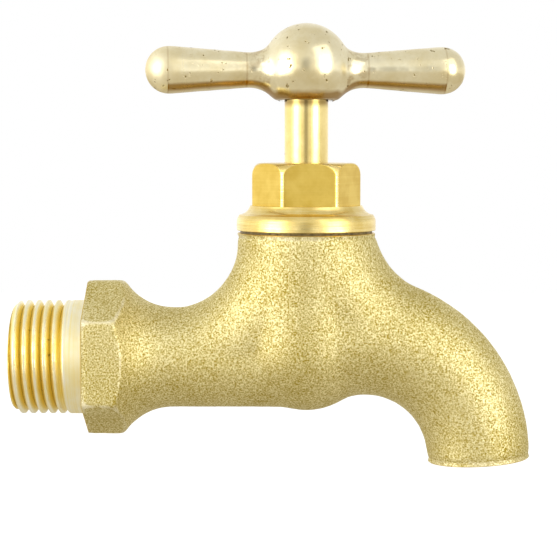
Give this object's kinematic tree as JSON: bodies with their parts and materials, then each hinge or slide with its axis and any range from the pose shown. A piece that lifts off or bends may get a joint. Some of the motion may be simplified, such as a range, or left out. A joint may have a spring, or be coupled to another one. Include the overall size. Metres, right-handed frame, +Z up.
{
  "type": "water tap",
  "caption": "Wall-mounted screw-down bib tap: cast body with male pipe thread, wrench hexagon and down-curved spout, turned bonnet, rising spindle and T-handle.",
  "frame": {"origin": "on the inlet axis, in the face of the inlet hexagon that looks at the wall", "axes": "+X from the wall towards the spout along the inlet axis, +Z up along the spindle, +Y to the tap's far side"},
  "size_m": [0.0949, 0.0264, 0.0806],
  "materials": {
    "cast_brass": "rough cast, blasted",
    "turned_brass": "satin turned",
    "polished_brass": "polished",
    "handle_brass": "polished casting, pale",
    "gasket_fibre": "pressed fibre",
    "seal_rubber": "smooth",
    "washer_rubber": "smooth",
    "screw_steel": "plain steel"
  },
  "bodies": {
    "casing": {"tap_body": "cast_brass", "bonnet": "turned_brass", "bonnet_gasket": "gasket_fibre", "stem_seal": "seal_rubber"},
    "valve": {"jumper": "turned_brass", "seat_washer": "washer_rubber", "washer_nut": "turned_brass"},
    "turning_spindle": {"spindle": "polished_brass", "spindle_ring": "seal_rubber", "handle": "handle_brass", "handle_screw": "screw_steel"}
  },
  "joints": [
    {"name": "valve_lift", "type": "slide", "parent": "casing", "child": "valve", "axis": [0, 0, 1], "range_m": [0, 0.00438]},
    {"name": "spindle_turn", "type": "hinge", "parent": "valve", "child": "turning_spindle", "pos_m": [0.0401, 0, 0], "axis": [0, 0, 1], "range_deg": [0, 630]}
  ],
  "couplings": [
    {"joint": "valve_lift", "follows": "spindle_turn", "m_per_rad": 0.00039789}
  ]
}
